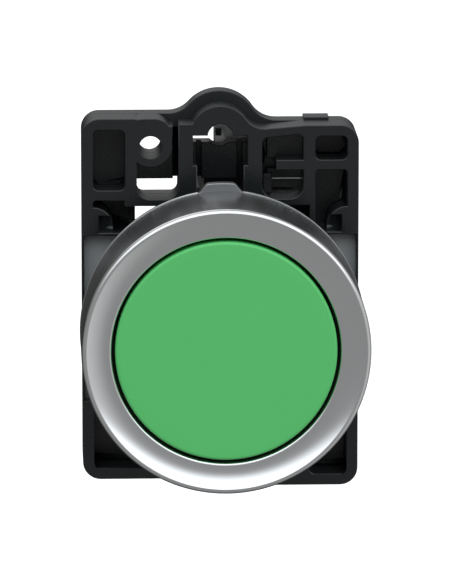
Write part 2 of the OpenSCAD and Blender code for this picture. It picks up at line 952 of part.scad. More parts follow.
// Contact strip with a tapped hole; side is 1 above the axis and -1 below it
module fixed_contact(side) {
    color("#c08a4a")
        difference() {
            box(strip_x0, cavity_x1, strip_y, strip_y + strip_t,
                side > 0 ? strip_z0 : -strip_z1, side > 0 ? strip_z1 : -strip_z0);
            rod(strip_y - eps, strip_t + 2 * eps, term_screw_r + slip, mid_x, side * term_z);
        }
}

module upper_contact() {
    fixed_contact(1);
}

module lower_contact() {
    fixed_contact(-1);
}

module fixed_tips() {
    color("#d9dadb")
        for (side = [-1, 1])
            rod(fixed_tip_y, tip_t, tip_r, mid_x, side * tip_z);
}

// Washer that the terminal screw draws down on the wire
module wire_clamp(side) {
    color("#b5b8ba")
        difference() {
            box(mid_x - washer_hw, mid_x + washer_hw, washer_y, washer_y + washer_t,
                side * term_z - washer_hw, side * term_z + washer_hw);
            rod(washer_y - eps, washer_t + 2 * eps, term_screw_r + slip, mid_x, side * term_z);
        }
}

module terminal_screw(side) {
    color("#c3c6c8")
        slotted_screw(strip_y - term_tail, washer_y + washer_t, term_head_t, term_screw_r,
            term_head_r, mid_x, side * term_z);
}

module upper_clamp() {
    wire_clamp(1);
}

module upper_screw() {
    terminal_screw(1);
}

module lower_clamp() {
    wire_clamp(-1);
}

module lower_screw() {
    terminal_screw(-1);
}

bezel();
cap();
cap_seal();
pusher();
pusher_clip();
return_spring();
barrel();
panel_gasket();
collar_frame();
collar_back();
collar_plate();
collar_clip();
clip_rivet();
clamp_screw();
clamp_pad();
lock_ring();
block_housing();
block_cover();
block_rivets();
block_latch();
latch_pin();
plunger();
contact_bridge();
bridge_tips();
contact_spring();
upper_contact();
lower_contact();
fixed_tips();
upper_clamp();
upper_screw();
lower_clamp();
lower_screw();
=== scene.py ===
import json
import math

import bmesh
import bpy
import numpy as np
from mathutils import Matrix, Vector


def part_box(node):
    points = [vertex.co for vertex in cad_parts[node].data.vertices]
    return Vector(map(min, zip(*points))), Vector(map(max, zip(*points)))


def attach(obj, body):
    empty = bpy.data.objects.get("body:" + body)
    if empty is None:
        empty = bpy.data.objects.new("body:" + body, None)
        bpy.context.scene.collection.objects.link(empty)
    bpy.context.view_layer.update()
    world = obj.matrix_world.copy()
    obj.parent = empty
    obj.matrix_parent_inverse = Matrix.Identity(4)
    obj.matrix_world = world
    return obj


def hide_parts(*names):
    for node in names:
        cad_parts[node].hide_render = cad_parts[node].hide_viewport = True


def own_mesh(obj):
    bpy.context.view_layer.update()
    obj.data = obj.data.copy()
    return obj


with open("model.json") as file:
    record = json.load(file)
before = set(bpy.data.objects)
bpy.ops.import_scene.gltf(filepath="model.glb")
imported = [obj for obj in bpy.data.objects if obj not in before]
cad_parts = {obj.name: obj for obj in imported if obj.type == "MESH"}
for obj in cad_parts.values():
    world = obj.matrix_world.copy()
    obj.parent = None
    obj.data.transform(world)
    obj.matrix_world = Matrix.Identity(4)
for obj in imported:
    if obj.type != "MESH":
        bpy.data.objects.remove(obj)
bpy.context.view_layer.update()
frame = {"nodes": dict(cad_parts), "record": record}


# ---------------------------------------------------------------------------
# Bezel: a die-cast zinc ring with satin chrome plating. It is turned smooth,
# its face is a shallow dish, and a key stands on its rear edge at the top.
# ---------------------------------------------------------------------------

MM = 0.001
TAU = 2 * math.pi


def linear(hex_colour):
    """sRGB hex to linear RGBA, by the sRGB transfer curve."""
    values = [int(hex_colour[i:i + 2], 16) / 255 for i in (1, 3, 5)]
    rgb = [v / 12.92 if v <= 0.04045 else ((v + 0.055) / 1.055) ** 2.4 for v in values]
    return (*rgb, 1.0)


def add(tree, kind, inputs, **settings):
    """Adds a node with its settings; an input is a value, or a socket to link."""
    node = tree.nodes.new(kind)
    for name, value in settings.items():
        setattr(node, name, value)
    for name, value in inputs.items():
        if isinstance(value, bpy.types.NodeSocket):
            tree.links.new(value, node.inputs[name])
        else:
            node.inputs[name].default_value = value
    return node


def new_material(name):
    """An empty node material with its tree and its Object coordinates."""
    material = bpy.data.materials.new(name)
    material.use_nodes = True
    tree = material.node_tree
    tree.nodes.clear()
    coords = add(tree, "ShaderNodeTexCoord", {}).outputs["Object"]
    return material, tree, coords


def finish_material(tree, surface):
    """Links a shader to the material's output."""
    add(tree, "ShaderNodeOutputMaterial", {"Surface": surface.outputs[0]})


def make_piece(name, mesh, material, body, slot, *nodes):
    """Puts a mesh in the scene as a piece that rides on a body and replaces CAD nodes."""
    piece = bpy.data.objects.new(name, mesh)
    bpy.context.collection.objects.link(piece)
    mesh.materials.clear()
    mesh.materials.append(material)
    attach(piece, body)
    if nodes:
        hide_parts(*nodes)
    return piece


def shade(mesh, sharp=40):
    """Smooth shading, with edges sharper than the given angle kept crisp."""
    mesh.shade_smooth()
    mesh.set_sharp_from_angle(angle=math.radians(sharp))


def grid_mesh(name, points, close_rows=True, close_columns=True, sharp=40):
    """
    Mesh of a grid of points with shape (rows, columns, 3). Row i, column j joins row
    i + 1, column j + 1, and a closed direction wraps round. Points that meet are merged
    and faces are turned outwards.
    """
    rows, columns = points.shape[:2]
    i = np.arange(rows if close_rows else rows - 1)
    j = np.arange(columns if close_columns else columns - 1)
    i, j = np.meshgrid(i, j, indexing="ij")
    i2, j2 = (i + 1) % rows, (j + 1) % columns
    quads = np.stack([i * columns + j, i2 * columns + j, i2 * columns + j2, i * columns + j2])
    quads = quads.reshape(4, -1).T
    mesh = bpy.data.meshes.new(name)
    mesh.from_pydata(points.reshape(-1, 3).tolist(), [], quads.tolist())
    shell = bmesh.new()
    shell.from_mesh(mesh)
    bmesh.ops.remove_doubles(shell, verts=shell.verts, dist=1e-7)
    bmesh.ops.dissolve_degenerate(shell, edges=shell.edges, dist=1e-8)
    bmesh.ops.recalc_face_normals(shell, faces=shell.faces)
    shell.to_mesh(mesh)
    shell.free()
    shade(mesh, sharp)
    return mesh


def turned(name, profile, steps=160, centre=(0, 0), closed=True, sharp=40):
    """
    Surface of revolution about Y through centre (x, z). The profile is a list of
    (radius, y): x = radius cos a, z = radius sin a for angle a from 0 to a full turn.
    """
    radius, y = np.array(profile, float).T
    angle = np.linspace(0, TAU, steps, endpoint=False)
    x = centre[0] + np.outer(np.cos(angle), radius)
    z = centre[1] + np.outer(np.sin(angle), radius)
    points = np.stack([x, np.broadcast_to(y, x.shape), z], axis=-1)
    return grid_mesh(name, points, True, closed, sharp)


def arc(centre, radius, start, end, count=10):
    """Points (r, y) on a circle about centre, from angle start to end in degrees."""
    angle = np.radians(np.linspace(start, end, count))
    return [
        (centre[0] + radius * math.cos(a), centre[1] + radius * math.sin(a)) for a in angle
    ]


def satin_chrome(name, tint, shaded_side_tint, roughness, ring_mm):
    """
    Chrome plating over polished zinc: a soft mirror. Fine turning marks run round the
    axis, and the polish varies a little over patches of 6 mm. Towards the outer radius
    the base colour turns to the side tint: painted shade that darkens the side wall.
    Real marks are about 0.02 mm apart; they are drawn coarser, ring_mm apart, so that
    they show.
    """
    material, tree, coords = new_material(name)
    flat = add(tree, "ShaderNodeVectorMath", {0: coords, 1: (1, 0, 1)}, operation="MULTIPLY")
    radius = add(tree, "ShaderNodeVectorMath", {0: flat.outputs[0]}, operation="LENGTH")
    rings = add(
        tree, "ShaderNodeTexNoise",
        {"W": radius.outputs["Value"], "Scale": 1 / (ring_mm * MM), "Detail": 2.0},
        noise_dimensions="1D",
    )
    cloud = add(tree, "ShaderNodeTexNoise", {"Vector": coords, "Scale": 1 / (6 * MM)})
    polish = add(
        tree, "ShaderNodeMapRange",
        {"Value": cloud.outputs[0], "To Min": roughness - 0.01, "To Max": roughness + 0.01},
    )
    bump = add(
        tree, "ShaderNodeBump",
        {"Height": rings.outputs[0], "Strength": 0.2, "Distance": 0.001 * MM},
    )
    # Painted shade: the colour turns to the darker side tint over the last 0.3 mm of radius
    side = add(
        tree, "ShaderNodeMapRange",
        {"Value": radius.outputs["Value"], "From Min": BEZEL_R - 0.3 * MM,
         "From Max": BEZEL_R - 0.05 * MM},
    )
    tone = add(
        tree, "ShaderNodeMix",
        {0: side.outputs[0], 6: linear(tint), 7: linear(shaded_side_tint)}, data_type="RGBA",
    )
    metal = add(
        tree, "ShaderNodeBsdfPrincipled",
        {
            "Base Color": tone.outputs[2], "Metallic": 1.0,
            "Roughness": polish.outputs[0], "Normal": bump.outputs[0],
        },
    )
    finish_material(tree, metal)
    return material


REAR_LIP = 0.04 * MM
BEZEL_RIM_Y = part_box("bezel")[0][1]
BEZEL_REAR_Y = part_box("bezel")[1][1]
BEZEL_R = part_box("bezel")[1][0] - REAR_LIP
CAP_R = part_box("cap")[1][0]
CAP_GAP = 0.37 * MM
BEZEL_HOLE_R = CAP_R + CAP_GAP
BEZEL_BORE_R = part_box("cap_seal")[1][0]
RIM_ROUND = 0.5 * MM
DISH_DROP = 0.8 * MM
LIP_T = 1.4 * MM
INNER_ROUND = 0.25 * MM
GROOVE_ROUND = 0.1 * MM
REAR_BEAD = 0.3 * MM
REAR_BEAD_R = BEZEL_R + REAR_LIP - REAR_BEAD

dish_w = BEZEL_R - RIM_ROUND - BEZEL_HOLE_R
dish_r = (dish_w ** 2 + DISH_DROP ** 2) / (2 * DISH_DROP)
dish_turn = math.degrees(math.asin(dish_w / dish_r))
dish_y = BEZEL_RIM_Y + DISH_DROP
bezel_profile = (
    [(BEZEL_HOLE_R, dish_y + LIP_T)]
    + arc((BEZEL_HOLE_R + INNER_ROUND, dish_y + INNER_ROUND), INNER_ROUND, 180, 270, 5)
    + arc((BEZEL_HOLE_R, dish_y - dish_r), dish_r, 90 - 3, 90 - dish_turn, 22)
    + arc((BEZEL_R - RIM_ROUND, BEZEL_RIM_Y + RIM_ROUND), RIM_ROUND, -78, 0, 14)
    + arc((BEZEL_R - GROOVE_ROUND, BEZEL_REAR_Y - 1.15 * MM), GROOVE_ROUND, 0, 60, 4)
    + arc((BEZEL_R - 0.02 * MM, BEZEL_REAR_Y - 0.9 * MM), GROOVE_ROUND, 240, 300, 4)
    + arc((REAR_BEAD_R, BEZEL_REAR_Y - 0.5 * MM), REAR_BEAD, -40, 0, 5)
    + arc((REAR_BEAD_R, BEZEL_REAR_Y - REAR_BEAD), REAR_BEAD, 0, 90, 8)
    + [(BEZEL_BORE_R, BEZEL_REAR_Y), (BEZEL_BORE_R, dish_y + LIP_T)]
)
# Satin chrome on die-cast zinc: bright and cool, with soft-edged reflections and a side wall
# darkened by painted shade
plated_zinc = satin_chrome("satin_chrome_on_zinc", "#dfe0e1", "#b9babb", 0.24, 0.12)
make_piece(
    "bezel_ring", turned("bezel_ring", bezel_profile, 224, sharp=50), plated_zinc,
    "base", "plated_metal", "bezel",
)


def key_mesh(name, x0, half_top, half_base, height, y0, y1, edge):
    """
    Key on the bezel's edge, centred on x0. Its top is the ring's circle plus a height
    that is level to half_top and falls as a half cosine to half_base. Each cross-section
    is a closed loop in y and z, square below and rounded by edge above.
    """
    step = np.linspace(-half_base, half_base, 61)
    fall = np.clip((np.abs(step) - half_top) / (half_base - half_top), 0, 1)
    x = (x0 + step)[:, None]
    crown = np.sqrt(BEZEL_R ** 2 - x ** 2) + height * (0.5 + 0.5 * np.cos(fall * math.pi))[:, None]
    corner = np.radians(np.linspace(180, 90, 6))
    drop = edge * np.sin(corner) - edge
    front, rear = y0 + edge + edge * np.cos(corner), y1 - edge - edge * np.cos(corner)[::-1]
    y = np.concatenate([[y0], front, rear, [y1]])[None]
    base = np.sqrt(BEZEL_R ** 2 - x ** 2) - 0.4 * MM
    z = np.concatenate([base, crown + drop, crown + drop[::-1], base], axis=1)
    points = np.stack([np.broadcast_to(x, z.shape), np.broadcast_to(y, z.shape), z], axis=-1)
    ends = [np.broadcast_to(points[k].mean(axis=0), points[0].shape)[None] for k in (0, -1)]
    return grid_mesh(name, np.concatenate([ends[0], points, ends[1]]), False, True)


KEY_X = -0.23 * MM
KEY_HALF_TOP = 1.3 * MM
KEY_HALF_BASE = 2.45 * MM
KEY_H = 0.86 * MM
KEY_T = 1.2 * MM
KEY_EDGE = 0.12 * MM
KEY_SETBACK = 0.04 * MM
# Chrome on the key: the same metal, duller, and greyer all over as painted shade
shaded_key_plating = satin_chrome("shaded_plating_on_key", "#8c8d8f", "#8c8d8f", 0.4, 0.12)
make_piece(
    "bezel_key",
    key_mesh("bezel_key", KEY_X, KEY_HALF_TOP, KEY_HALF_BASE, KEY_H, BEZEL_REAR_Y - KEY_T,
             BEZEL_REAR_Y - KEY_SETBACK, KEY_EDGE),
    shaded_key_plating, "base", "plated_metal",
)


# ---------------------------------------------------------------------------
# Cap: an injection-moulded ABS disc with a satin, very fine spark-eroded face
# and a small polished round at its edge. Its skirt snaps over the pusher.
# ---------------------------------------------------------------------------

def moulded_plastic(name, colour, shade_colour, roughness, grain_mm, depth_mm, specular=0.5):
    """
    Moulded plastic: one even colour with a soft sheen. The colour drifts a little over
    about 9 mm, and the mould's spark-eroded grain shows as a fine bump of the given size
    and depth, with a faint change of gloss. Real grain is about 0.03 mm; it is drawn
    coarser so that it shows.
    """
    material, tree, coords = new_material(name)
    drift = add(
        tree, "ShaderNodeTexNoise", {"Vector": coords, "Scale": 1 / (9 * MM), "Detail": 3.0}
    )
    tone = add(
        tree, "ShaderNodeMix",
        {0: drift.outputs[0], 6: linear(shade_colour), 7: linear(colour)}, data_type="RGBA",
    )
    grain = add(
        tree, "ShaderNodeTexNoise",
        {"Vector": coords, "Scale": 1 / (grain_mm * MM), "Detail": 4.0, "Roughness": 0.6},
    )
    gloss = add(
        tree, "ShaderNodeMapRange",
        {"Value": grain.outputs[0], "From Min": 0.3, "From Max": 0.7,
         "To Min": roughness - 0.05, "To Max": roughness + 0.06},
    )
    bump = add(
        tree, "ShaderNodeBump",
        {"Height": grain.outputs[0], "Strength": 0.5, "Distance": depth_mm * MM},
    )
    plastic = add(
        tree, "ShaderNodeBsdfPrincipled",
        {
            "Base Color": tone.outputs[2], "Roughness": gloss.outputs[0],
            "Specular IOR Level": specular, "IOR": 1.5, "Normal": bump.outputs[0],
        },
    )
    finish_material(tree, plastic)
    return material


CAP_FACE_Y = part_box("cap")[0][1]
CAP_REAR_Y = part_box("cap")[1][1]
CAP_ROUND = 0.32 * MM
CAP_SKIRT_LEN = 4.6 * MM
CAP_SKIRT_T = 1 * MM
SKIRT_ROUND = 0.15 * MM
CAP_T = 1.6 * MM
HUB_R = 2.9 * MM
HUB_ROUND = 0.3 * MM
cap_profile = (
    [(0, CAP_FACE_Y), (CAP_R * 0.5, CAP_FACE_Y), (CAP_R * 0.85, CAP_FACE_Y)]
    + arc((CAP_R - CAP_ROUND, CAP_FACE_Y + CAP_ROUND), CAP_ROUND, -90, 0, 12)
    + arc((CAP_R - SKIRT_ROUND, CAP_FACE_Y + CAP_SKIRT_LEN - SKIRT_ROUND), SKIRT_ROUND, 0, 90, 5)
    + [(CAP_R - CAP_SKIRT_T, CAP_FACE_Y + CAP_SKIRT_LEN)]
    + [(CAP_R - CAP_SKIRT_T, CAP_FACE_Y + CAP_T), (HUB_R, CAP_FACE_Y + CAP_T)]
    + arc((HUB_R - HUB_ROUND, CAP_REAR_Y - HUB_ROUND), HUB_ROUND, 0, 90, 5)
    + [(0, CAP_REAR_Y)]
)
# Green ABS, moulded with a satin face: a clear flat green under a wide, soft highlight
green_abs = moulded_plastic("green_abs", "#5fce74", "#5dcb71", 0.42, 0.09, 0.004)
make_piece(
    "cap_disc", turned("cap_disc", cap_profile, 192, closed=False), green_abs,
    "button", "green_cap", "cap",
)


# ---------------------------------------------------------------------------
# Wiper seal and panel gasket: moulded black rubber rings. The wiper's thin lip
# touches the cap's side; the gasket has two round beads that meet the panel.
# ---------------------------------------------------------------------------

def black_rubber(name, colour):
    """
    Moulded nitrile rubber: nearly black and dull, with a soft bloom that lightens it in
    patches of about 2.5 mm.
    """
    material, tree, coords = new_material(name)
    bloom = add(
        tree, "ShaderNodeTexNoise", {"Vector": coords, "Scale": 1 / (2.5 * MM), "Detail": 5.0}
    )
    tone = add(
        tree, "ShaderNodeMix",
        {0: bloom.outputs[0], 6: linear("#0d0d0e"), 7: linear(colour)}, data_type="RGBA",
    )
    bump = add(
        tree, "ShaderNodeBump",
        {"Height": bloom.outputs[0], "Strength": 0.3, "Distance": 0.01 * MM},
    )
    rubber = add(
        tree, "ShaderNodeBsdfPrincipled",
        {"Base Color": tone.outputs[2], "Roughness": 0.72, "IOR": 1.52,
         "Specular IOR Level": 0.3, "Normal": bump.outputs[0]},
    )
    finish_material(tree, rubber)
    return material


# Nitrile rubber: drinks the light and shows only a faint grey sheen
rubber = black_rubber("nitrile_rubber", "#1b1b1c")
seal_y0, seal_y1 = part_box("cap_seal")[0][1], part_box("cap_seal")[1][1]
seal_in = CAP_R + 0.06 * MM
LIP_ROUND = 0.16 * MM
wiper_profile = (
    [(BEZEL_BORE_R, seal_y0), (seal_in + 0.5 * MM, seal_y0)]
    + arc((seal_in + LIP_ROUND, seal_y0 + 0.2 * MM), LIP_ROUND, 270, 90, 9)
    + [(seal_in + 0.6 * MM, seal_y0 + 0.45 * MM), (seal_in + 0.7 * MM, seal_y1)]
    + [(BEZEL_BORE_R, seal_y1)]
)
make_piece(
    "cap_wiper", turned("cap_wiper", wiper_profile), rubber, "base", "seal_rubber", "cap_seal"
)

gasket_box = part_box("panel_gasket")
gasket_r, gasket_y0, gasket_y1 = gasket_box[1][0], gasket_box[0][1], gasket_box[1][1]
GASKET_BORE_R = 11.02 * MM
EDGE_ROUND = 0.25 * MM
BEAD_R = 0.42 * MM
gasket_profile = (
    [(GASKET_BORE_R, gasket_y0), (gasket_r - 0.2 * MM, gasket_y0)]
    + arc((gasket_r - EDGE_ROUND, gasket_y0 + EDGE_ROUND), EDGE_ROUND, -80, 60, 8)
    + arc((gasket_r - 0.75 * MM, gasket_y1 - BEAD_R), BEAD_R, 10, 170, 10)
    + arc((gasket_r - 2.1 * MM, gasket_y1 - BEAD_R), BEAD_R, 10, 170, 10)
    + [(GASKET_BORE_R, gasket_y1 - BEAD_R)]
)
make_piece(
    "gasket_ring", turned("gasket_ring", gasket_profile), rubber,
    "base", "seal_rubber", "panel_gasket",
)


# ---------------------------------------------------------------------------
# Barrel, pusher and the pusher's clip: glass-filled nylon mouldings with their
# edges eased, and an open spring-steel ring that holds the pusher in.
# ---------------------------------------------------------------------------

# Each CAD node's body and material slot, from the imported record
body_of = {
    node: body
    for body, nodes in frame["record"]["behaviour"]["bodies"].items()
    for node in nodes
}
slot_of = {part["node"]: part["material_slot"] for part in frame["record"]["subparts"]}


def eased(node, width_mm, material, segments=2, sharp=35):
    """
    A CAD node's own shape with merged corners, flat areas joined into one face and every
    edge over 35 degrees rounded by width_mm, or less beside an edge too short for it. It
    replaces the node on the same body.
    """
    width = width_mm * MM
    mesh = frame["nodes"][node].data.copy()
    shell = bmesh.new()
    shell.from_mesh(mesh)
    bmesh.ops.remove_doubles(shell, verts=shell.verts, dist=4e-6)
    bmesh.ops.dissolve_limit(
        shell, angle_limit=math.radians(0.5), verts=shell.verts, edges=shell.edges
    )
    weight = shell.edges.layers.float.new("bevel_weight_edge")
    for edge in shell.edges:
        if len(edge.link_faces) != 2 or not edge.is_convex:
            continue
        if edge.calc_face_angle(0) < math.radians(sharp):
            continue
        along = (edge.verts[1].co - edge.verts[0].co).normalized()
        room = edge.calc_length()
        for corner in edge.verts:
            for other in corner.link_edges:
                ray = (other.other_vert(corner).co - corner.co).normalized()
                if abs(ray.dot(along)) < 0.9:
                    room = min(room, other.calc_length()) if other is not edge else room
        edge[weight] = min(1.0, 0.4 * max(room, 0.12 * width) / width)
    shell.to_mesh(mesh)
    shell.free()
    holder = bpy.data.objects.new(node + "_draft", mesh)
    bpy.context.collection.objects.link(holder)
    round_edges = holder.modifiers.new("round_edges", "BEVEL")
    round_edges.width = width
    round_edges.segments = segments
    round_edges.limit_method = "WEIGHT"
    round_edges.use_clamp_overlap = False
    round_edges.miter_outer = "MITER_ARC"
    view = bpy.context.evaluated_depsgraph_get()
    rounded = bpy.data.meshes.new_from_object(holder.evaluated_get(view))
    bpy.data.objects.remove(holder)
    rounded.name = node + "_shape"
    shade(rounded, 20)
    return make_piece(node + "_shape", rounded, material, body_of[node], slot_of[node], node)


# Black glass-filled nylon, moulded: dull, with fibres that roughen the skin
black_nylon = moulded_plastic("black_nylon", "#1b1e20", "#171a1b", 0.5, 0.12, 0.006)
eased("barrel", 0.1, black_nylon)
eased("pusher", 0.1, black_nylon)


def rolled_steel(name, colour, roughness, metal_mm):
    """
    Bright steel strip or wire. Its surface clouds the reflection in patches of metal_mm,
    and fine drawing marks give it a grain. Real marks are finer than 0.15 mm; they are
    drawn that coarse so that they show.
    """
    material, tree, coords = new_material(name)
    patches = add(
        tree, "ShaderNodeTexNoise", {"Vector": coords, "Scale": 1 / (metal_mm * MM), "Detail": 4.0}
    )
    tone = add(
        tree, "ShaderNodeMix",
        {0: patches.outputs[0], 6: linear("#8d8f90"), 7: linear(colour)}, data_type="RGBA",
    )
    gloss = add(
        tree, "ShaderNodeMapRange",
        {"Value": patches.outputs[0], "To Min": roughness - 0.08, "To Max": roughness + 0.1},
    )
    lines = add(
        tree, "ShaderNodeTexNoise",
        {"Vector": coords, "Scale": 1 / (0.15 * MM), "Detail": 2.0, "Distortion": 0.4},
    )
    bump = add(
        tree, "ShaderNodeBump",
        {"Height": lines.outputs[0], "Strength": 0.25, "Distance": 0.004 * MM},
    )
    metal = add(
        tree, "ShaderNodeBsdfPrincipled",
        {"Base Color": tone.outputs[2], "Metallic": 1.0, "Roughness": gloss.outputs[0],
         "Normal": bump.outputs[0]},
    )
    finish_material(tree, metal)
    return material


# Cold-drawn spring steel is a darker grey; zinc plate on steel is paler and cloudier
spring_steel = rolled_steel("spring_steel", "#a9abad", 0.3, 0.8)
zinc_steel = rolled_steel("zinc_plated_steel", "#d0d1cf", 0.34, 0.6)
eased("pusher_clip", 0.06, spring_steel)


# ---------------------------------------------------------------------------
# Springs: cold-drawn steel wire, wound. The large one pushes the pusher out and
# the small one sits behind the contact bridge.
# ---------------------------------------------------------------------------

def coil_mesh(name, y0, y1, radius, wire, turns, centre_x):
    """
    Round wire wound about Y. Turn angle a runs from 0 to all the turns and wire angle b
    round the wire: reach = radius + wire/2 cos b, y rises with a and adds wire/2 sin b.
    The ends close to a point.
    """
    a = np.linspace(0, turns * TAU, int(turns * 40) + 1)
    b = np.linspace(0, TAU, 14, endpoint=False)
    size = np.full(a.shape, wire / 2)
    size[[0, -1]] = 0
    reach = radius + np.outer(size, np.cos(b))
    rise = y0 + wire / 2 + (y1 - y0 - wire) * a / a[-1]
    y = rise[:, None] + np.outer(size, np.sin(b))
    x = centre_x + reach * np.cos(a)[:, None]
    z = reach * np.sin(a)[:, None]
    return grid_mesh(name, np.stack([x, y, z], axis=-1), False, True)


# Middle of the contact block, across
BLOCK_X = 4 * MM
for node, radius, wire, turns, centre_x in (
    ("return_spring", 6.9 * MM, 0.8 * MM, 5, 0.0),
    ("contact_spring", 1.55 * MM, 0.4 * MM, 9, BLOCK_X),
):
    low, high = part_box(node)
    spring = make_piece(
        node + "_wire", coil_mesh(node, low[1], high[1], radius, wire, turns, centre_x),
        spring_steel, body_of[node], slot_of[node], node,
    )
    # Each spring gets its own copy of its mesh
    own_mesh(spring)


# ---------------------------------------------------------------------------
# Collar: two layers of black glass-filled nylon, moulded with deep pockets. The
# front layer carries the eye and the cross bars, the rear layer the taller hump.
# ---------------------------------------------------------------------------

def chamfered(node, width_mm, material):
    """
    A CAD node's own shape with merged corners and a chamfer of width_mm on every edge of
    its front and rear planes: each plane's outline moves inwards, and the old outline
    moves back into the body. It replaces the node on the same body.
    """
    width = width_mm * MM
    shell = bmesh.new()
    shell.from_mesh(frame["nodes"][node].data)
    bmesh.ops.remove_doubles(shell, verts=shell.verts, dist=2e-6)
    bmesh.ops.dissolve_degenerate(shell, edges=shell.edges, dist=2e-6)
    shell.normal_update()
    low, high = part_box(node)
    for side, plane_y in ((-1, low[1]), (1, high[1])):
        flat = [
            face for face in shell.faces
            if face.normal.y * side > 0.999 and abs(face.calc_center_median().y - plane_y) < width
        ]
        ring = bmesh.ops.inset_region(
            shell, faces=flat, use_boundary=True, use_even_offset=True, thickness=width
        )["faces"]
        inner = {corner for face in flat for corner in face.verts}
        for corner in {corner for face in ring for corner in face.verts} - inner:
            corner.co.y -= side * width
    mesh = bpy.data.meshes.new(node + "_shape")
    shell.to_mesh(mesh)
    shell.free()
    shade(mesh, 20)
    return make_piece(node + "_shape", mesh, material, body_of[node], slot_of[node], node)


# Black glass-filled nylon with a finer skin than the barrel's: grey where light grazes it
collar_nylon = moulded_plastic("collar_nylon", "#1c1f21", "#191c1e", 0.29, 0.16, 0.002)
chamfered("collar_frame", 0.07, collar_nylon)
chamfered("collar_back", 0.07, collar_nylon)


def join_meshes(name, meshes):
    """One mesh that holds all the given closed shells."""
    shell = bmesh.new()
    for mesh in meshes:
        shell.from_mesh(mesh)
        bpy.data.meshes.remove(mesh)
    joined = bpy.data.meshes.new(name)
    shell.to_mesh(joined)
    shell.free()
    shade(joined)
    return joined


# Ejector-pin marks: shallow raised discs on the rear face, each at x, z with radius r in mm
REAR_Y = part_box("collar_back")[1][1]
MARK_H = 0.08 * MM
MARK_ROOT = 0.1 * MM
marks = []
for x, z, r in ((-12, 4, 1.1), (-12, -8, 1.1), (12.6, -8, 1.1), (12.4, 17.6, 0.9)):
    profile = [
        (0, REAR_Y + MARK_H), (r * MM - MARK_H, REAR_Y + MARK_H),
        (r * MM, REAR_Y + MARK_H / 4), (r * MM, REAR_Y - MARK_ROOT), (0, REAR_Y - MARK_ROOT),
    ]
    marks.append(turned("mark", profile, 32, (x * MM, z * MM), closed=False))
make_piece("ejector_marks", join_meshes("ejector_marks", marks), collar_nylon, "base",
           "collar_plastic")


# ---------------------------------------------------------------------------
# Grey plate: a light grey moulded insert in the front layer, round the bore. It
# is a little lighter and duller than the collar.
# ---------------------------------------------------------------------------

# Light grey glass-filled nylon: pale, matt and even
grey_nylon = moulded_plastic("grey_nylon", "#9da0a1", "#979a9b", 0.42, 0.2, 0.006)
eased("collar_plate", 0.08, grey_nylon)


# ---------------------------------------------------------------------------
# Spring clip and rivet behind the hump: zinc-plated strip with a punched slot,
# fixed by a headed rivet.
# ---------------------------------------------------------------------------

eased("collar_clip", 0.06, zinc_steel)
eased("clip_rivet", 0.12, zinc_steel, 3)


def block_mesh(name, low, high, edge):
    """
    Rounded bar between two corners: a superellipsoid-like box whose corners and edges
    have radius edge. Each direction's sign picks a corner and a unit sphere rounds it.
    """
    low, high = np.array(low, float), np.array(high, float)
    a = np.linspace(0, TAU, 20, endpoint=False) + TAU / 40
    b = np.linspace(-math.pi / 2, math.pi / 2, 12)
    ball = np.stack(
        [np.outer(np.cos(b), np.cos(a)), np.outer(np.cos(b), np.sin(a)),
         np.broadcast_to(np.sin(b)[:, None], (12, 20))], axis=-1
    )
    core = np.where(ball > 0, high - edge, low + edge)
    points = core + edge * ball
    ends = [np.broadcast_to(points[k].mean(axis=0), points[0].shape)[None] for k in (0, -1)]
    return grid_mesh(name, np.concatenate([ends[0], points, ends[1]]), False, True)


# A black block fills the clip's slot, just short of its two faces: a dark piece that stands in for
# the shade in the slot
clip_low, clip_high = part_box("collar_clip")
SLOT_EDGE = 0.05 * MM
make_piece(
    "slot_shade_block",
    block_mesh("slot_shade_block", (-0.3 * MM, clip_low[1] + SLOT_EDGE, 18.6 * MM),
               (0.32 * MM, clip_high[1] - 2 * SLOT_EDGE, 19.42 * MM), SLOT_EDGE),
    black_nylon, "base", "black_plastic",
)


# ---------------------------------------------------------------------------
# Clamp screw and pad: a slotted zinc-plated machine screw with a rolled thread;
# its tip pushes the round pad against the rear of the panel.
# ---------------------------------------------------------------------------

def thread_mesh(name, y0, y1, root, crest, pitch, centre):
    """
    Sleeve with a rolled thread. At turn angle a and depth y the radius is root plus a
    triangle wave of (y / pitch - a / full turn), so the ridge climbs one pitch per turn.
    A smaller inner ring closes the sleeve.
    """
    a = np.linspace(0, TAU, 48, endpoint=False)
    y = np.linspace(y0, y1, int((y1 - y0) / pitch * 12))
    phase = (y[None] / pitch - a[:, None] / TAU) % 1
    radius = root + (crest - root) * (1 - np.abs(2 * phase - 1))
    fade = np.clip(np.minimum(y - y0, y1 - y) / pitch, 0, 1)
    radius = root + (radius - root) * fade[None]
    radius = np.concatenate([np.full((48, 1), root * 0.9), radius, np.full((48, 1), root * 0.9)], 1)
    y = np.concatenate([[y0], y, [y1]])
    x = centre[0] + radius * np.cos(a)[:, None]
    z = centre[1] + radius * np.sin(a)[:, None]
    points = np.stack([x, np.broadcast_to(y, x.shape), z], axis=-1)
    return grid_mesh(name, points, True, True, 60)


THREAD_PITCH = 0.5 * MM
THREAD_START = 0.1 * MM
THREAD_ROOT = 0.14 * MM
THREAD_CREST = 0.035 * MM
HEAD_LEN = 2.15 * MM
# Screw nodes with their shank radius in mm
for node, r in (("clamp_screw", 1.5), ("upper_screw", 1.2), ("lower_screw", 1.2)):
    eased(node, 0.12, zinc_steel, 3)
    low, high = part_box(node)
    centre = ((low[0] + high[0]) / 2, (low[2] + high[2]) / 2)
    make_piece(
        node + "_thread",
        thread_mesh(node, low[1] + THREAD_START, high[1] - HEAD_LEN, r * MM - THREAD_ROOT,
                    r * MM + THREAD_CREST, THREAD_PITCH, centre),
        zinc_steel, body_of[node], slot_of[node],
    )
for node in ("clamp_pad", "upper_clamp", "lower_clamp", "latch_pin"):
    eased(node, 0.08, zinc_steel)


# ---------------------------------------------------------------------------
# Lock ring: a red moulded ring that turns on the barrel's end. Its lever ends in
# a ribbed finger tab.
# ---------------------------------------------------------------------------

